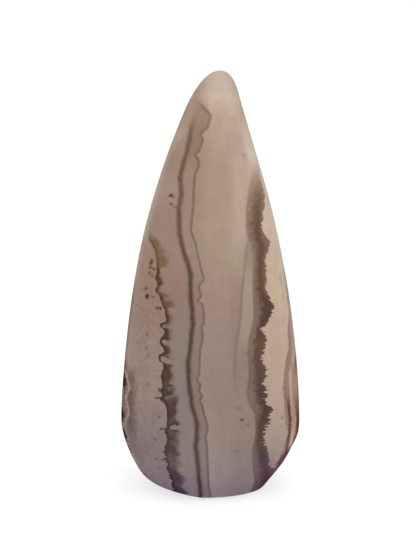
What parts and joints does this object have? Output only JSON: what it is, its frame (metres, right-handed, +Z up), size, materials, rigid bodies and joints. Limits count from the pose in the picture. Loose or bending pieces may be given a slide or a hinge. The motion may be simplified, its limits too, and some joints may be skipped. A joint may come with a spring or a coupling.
{
  "type": "polished crazy lace agate freeform",
  "caption": "Polished upright stone of banded crazy lace agate, a tapering flame-shaped freeform with a blunt tip and a flat ground base to stand on.",
  "frame": {"origin": "on the flat ground base, close to its middle, on the surface that the stone stands on", "axes": "+Z up through the stone towards its tip, -Y out of its broad front face, +X to the right as that face is seen"},
  "size_m": [0.0515, 0.0371, 0.12],
  "materials": {
    "banded_agate": "satin"
  },
  "bodies": {
    "root": {"agate_stone": "banded_agate"}
  },
  "joints": []
}
